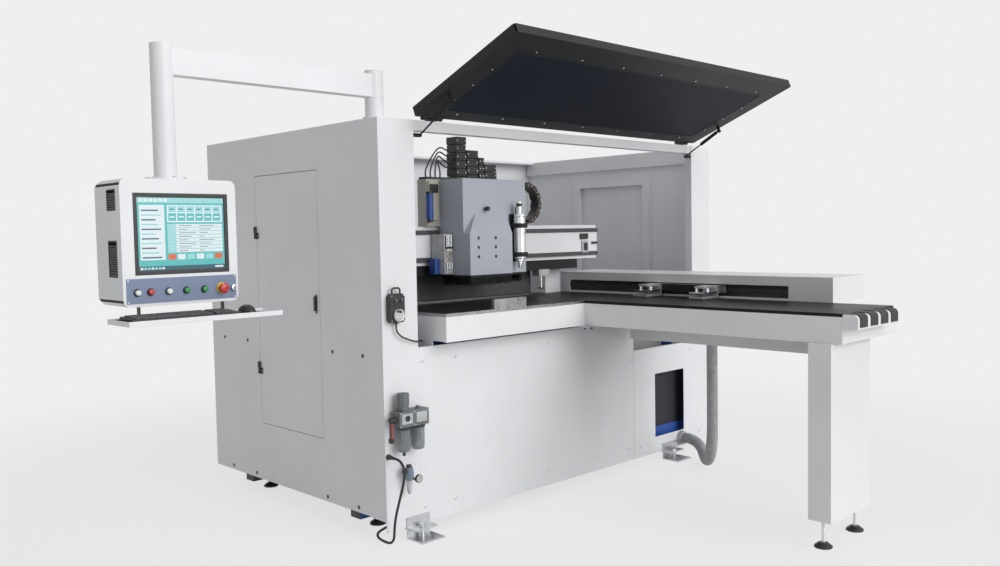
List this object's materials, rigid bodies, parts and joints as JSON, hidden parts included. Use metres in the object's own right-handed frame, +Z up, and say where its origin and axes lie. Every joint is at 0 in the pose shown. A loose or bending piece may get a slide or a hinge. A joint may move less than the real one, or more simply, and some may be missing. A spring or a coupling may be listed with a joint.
{
  "type": "cnc drilling machining center",
  "caption": "Enclosed panel drilling centre with lift-up hood, gantry drill head, in-feed table with gripper beam, swivelling control box and air service units.",
  "frame": {"origin": "on the floor, below the middle of the machine's extents without its loose cables", "axes": "+Z up, -Y out of the front, the side that the in-feed table reaches from; +X to the right of someone who stands in front"},
  "size_m": [3.9886, 3.6207, 2.3339],
  "materials": {
    "white_paint": "satin powder coat",
    "blue_paint": "satin",
    "black_table": "gloss",
    "black_paint": "satin",
    "navy_lining": "matt",
    "blue_grey_paint": "satin",
    "black_plastic": "matt",
    "black_rubber": "matt",
    "steel": "brushed",
    "bright_metal": "satin",
    "housing_shell": "satin powder coat",
    "switchgear": "matt",
    "screen_glass": "gloss",
    "button_cream": "gloss",
    "button_red": "gloss",
    "button_green": "gloss",
    "filter_grey": "satin",
    "lever_red": "gloss",
    "hose_grey": "matt",
    "bristle_black": "matt"
  },
  "bodies": {
    "machine": {"base_frame": "blue_paint", "left_housing": "white_paint", "electrics_plate": "switchgear", "right_housing": "white_paint", "header_beam": "white_paint", "rear_panel": "white_paint", "front_panel": "white_paint", "right_panel": "white_paint", "main_table": "black_table", "table_skirt": "white_paint", "infeed_top": "black_table", "table_leg": "white_paint", "gripper_beam": "white_paint", "gantry_beam": "white_paint", "pendant_body": "black_plastic", "air_filter": "filter_grey", "small_regulator": "filter_grey", "pendant_cable": "black_rubber", "power_cable": "black_rubber", "cable_coil": "black_rubber", "power_plug": "lever_red", "hose": "hose_grey"},
    "cabinet_door": {"cabinet_door": "white_paint"},
    "door_lock": {"door_lock": "black_plastic"},
    "right_door": {"right_door": "white_paint"},
    "hood": {"hood_frame": "black_paint", "hood_lining": "navy_lining"},
    "strut_rod_left": {"strut_rod_left": "steel"},
    "strut_rod_right": {"strut_rod_right": "steel"},
    "strut_cylinder_left": {"strut_cylinder_left": "black_paint"},
    "strut_cylinder_right": {"strut_cylinder_right": "black_paint"},
    "boom": {"boom_arm": "white_paint"},
    "control_box": {"control_box": "housing_shell", "screen": "screen_glass", "keyboard_tray": "housing_shell", "keyboard": "black_plastic"},
    "button_white_left": {"button_white_left": "button_cream"},
    "button_red": {"button_red": "button_red"},
    "button_white_right": {"button_white_right": "button_cream"},
    "button_green_left": {"button_green_left": "button_green"},
    "button_green_right": {"button_green_right": "button_green"},
    "emergency_stop": {"emergency_stop": "button_red"},
    "key_switch": {"key_switch": "black_plastic"},
    "pendant_dial": {"pendant_dial": "bright_metal"},
    "head": {"head_saddle": "steel", "head_cover": "blue_grey_paint", "brush_skirt": "bristle_black", "chain_loop": "black_plastic", "chain_tower": "black_plastic"},
    "drill_block": {"drill_block": "steel"},
    "drill_spindle_1": {"drill_spindle_1": "steel"},
    "drill_spindle_2": {"drill_spindle_2": "steel"},
    "router": {"router_motor": "bright_metal"},
    "router_collet": {"router_collet": "steel"},
    "lower_drill": {"lower_drill": "steel"},
    "gripper_carriage": {"gripper_carriage": "black_paint"},
    "gripper_jaw_front": {"gripper_jaw_front": "bright_metal"},
    "gripper_jaw_rear": {"gripper_jaw_rear": "bright_metal"},
    "filter_knob": {"filter_knob": "filter_grey"},
    "shutoff_lever": {"shutoff_lever": "lever_red"}
  },
  "joints": [
    {"name": "hood_lift", "type": "hinge", "parent": "machine", "child": "hood", "pos_m": [0.61075, 0.00215, 2.01], "axis": [1, 0, 0], "range_deg": [0, 112]},
    {"name": "strut_left_swing", "type": "hinge", "parent": "machine", "child": "strut_rod_left", "pos_m": [-0.49925, 0.01615, 1.93], "axis": [1, 0, 0], "range_deg": [0, 125.77]},
    {"name": "strut_left_stroke", "type": "slide", "parent": "strut_rod_left", "child": "strut_cylinder_left", "axis": [0, -0.867, 0.4983], "range_m": [-0.12503, 0]},
    {"name": "strut_right_swing", "type": "hinge", "parent": "machine", "child": "strut_rod_right", "pos_m": [1.72475, 0.01615, 1.93], "axis": [1, 0, 0], "range_deg": [0, 125.77]},
    {"name": "strut_right_stroke", "type": "slide", "parent": "strut_rod_right", "child": "strut_cylinder_right", "axis": [0, -0.867, 0.4983], "range_m": [-0.12503, 0]},
    {"name": "cabinet_door_hinge", "type": "hinge", "parent": "machine", "child": "cabinet_door", "pos_m": [-0.76775, 1.11965, 1.108], "axis": [0, 0, 1], "range_deg": [-110, 0]},
    {"name": "door_lock_lever", "type": "hinge", "parent": "cabinet_door", "child": "door_lock", "pos_m": [-0.76855, 0.54765, 1.1485], "axis": [0, 1, 0], "range_deg": [0, 60]},
    {"name": "right_door_hinge", "type": "hinge", "parent": "machine", "child": "right_door", "pos_m": [1.98725, 1.11965, 1.108], "axis": [0, 0, 1], "range_deg": [0, 110]},
    {"name": "boom_swivel", "type": "hinge", "parent": "machine", "child": "boom", "pos_m": [-0.69725, 0.10415, 2.096], "axis": [0, 0, 1], "range_deg": [-25, 90]},
    {"name": "control_box_swivel", "type": "hinge", "parent": "boom", "child": "control_box", "pos_m": [-1.72525, 0.10415, 1.694], "axis": [0, 0, 1], "range_deg": [-90, 90]},
    {"name": "button_white_left_press", "type": "slide", "parent": "control_box", "child": "button_white_left", "axis": [0, 1, 0], "range_m": [0, 0.0037], "stiffness_N_per_m": 300},
    {"name": "button_red_press", "type": "slide", "parent": "control_box", "child": "button_red", "axis": [0, 1, 0], "range_m": [0, 0.0037], "stiffness_N_per_m": 300},
    {"name": "button_white_right_press", "type": "slide", "parent": "control_box", "child": "button_white_right", "axis": [0, 1, 0], "range_m": [0, 0.0037], "stiffness_N_per_m": 300},
    {"name": "button_green_left_press", "type": "slide", "parent": "control_box", "child": "button_green_left", "axis": [0, 1, 0], "range_m": [0, 0.0037], "stiffness_N_per_m": 300},
    {"name": "button_green_right_press", "type": "slide", "parent": "control_box", "child": "button_green_right", "axis": [0, 1, 0], "range_m": [0, 0.0037], "stiffness_N_per_m": 300},
    {"name": "emergency_stop_press", "type": "slide", "parent": "control_box", "child": "emergency_stop", "axis": [0, 1, 0], "range_m": [0, 0.0057]},
    {"name": "key_switch_turn", "type": "hinge", "parent": "control_box", "child": "key_switch", "pos_m": [-1.51525, -0.02085, 1.256], "axis": [0, 1, 0], "range_deg": [0, 90]},
    {"name": "pendant_dial_turn", "type": "hinge", "parent": "machine", "child": "pendant_dial", "pos_m": [-0.69325, -0.03585, 1.082], "axis": [0, 1, 0], "continuous": true},
    {"name": "head_traverse", "type": "slide", "parent": "machine", "child": "head", "axis": [1, 0, 0], "range_m": [-0.36, 0.55]},
    {"name": "drill_block_feed", "type": "slide", "parent": "head", "child": "drill_block", "axis": [0, 0, 1], "range_m": [-0.12, 0]},
    {"name": "drill_spindle_1_turn", "type": "hinge", "parent": "drill_block", "child": "drill_spindle_1", "pos_m": [0.05575, 0.24915, 1.29], "axis": [0, 0, 1], "continuous": true},
    {"name": "drill_spindle_2_turn", "type": "hinge", "parent": "drill_block", "child": "drill_spindle_2", "pos_m": [0.17575, 0.24915, 1.29], "axis": [0, 0, 1], "continuous": true},
    {"name": "router_feed", "type": "slide", "parent": "head", "child": "router", "axis": [0, 0, 1], "range_m": [-0.12, 0]},
    {"name": "router_collet_turn", "type": "hinge", "parent": "router", "child": "router_collet", "pos_m": [0.31875, 0.15615, 1.28], "axis": [0, 0, 1], "continuous": true},
    {"name": "lower_drill_traverse", "type": "slide", "parent": "machine", "child": "lower_drill", "axis": [1, 0, 0], "range_m": [-0.1, 0.5]},
    {"name": "gripper_traverse", "type": "slide", "parent": "machine", "child": "gripper_carriage", "axis": [0, 1, 0], "range_m": [-0.4, 0.6]},
    {"name": "gripper_jaw_front_close", "type": "slide", "parent": "gripper_carriage", "child": "gripper_jaw_front", "axis": [0, 0, 1], "range_m": [-0.015, 0]},
    {"name": "gripper_jaw_rear_close", "type": "slide", "parent": "gripper_carriage", "child": "gripper_jaw_rear", "axis": [0, 0, 1], "range_m": [-0.015, 0]},
    {"name": "filter_knob_turn", "type": "hinge", "parent": "machine", "child": "filter_knob", "pos_m": [-0.68725, -0.04615, 0.688], "axis": [0, 0, 1], "range_deg": [0, 720]},
    {"name": "shutoff_lever_turn", "type": "hinge", "parent": "machine", "child": "shutoff_lever", "pos_m": [-0.75325, -0.04615, 0.596], "axis": [1, 0, 0], "range_deg": [-90, 0]}
  ],
  "couplings": [
    {"joint": "strut_left_swing", "follows": "hood_lift", "ratio": 1.1221},
    {"joint": "strut_left_stroke", "follows": "hood_lift", "m_per_rad": -0.063857},
    {"joint": "strut_right_swing", "follows": "hood_lift", "ratio": 1.1221},
    {"joint": "strut_right_stroke", "follows": "hood_lift", "m_per_rad": -0.063857},
    {"joint": "drill_spindle_2_turn", "follows": "drill_spindle_1_turn", "ratio": -1}
  ]
}
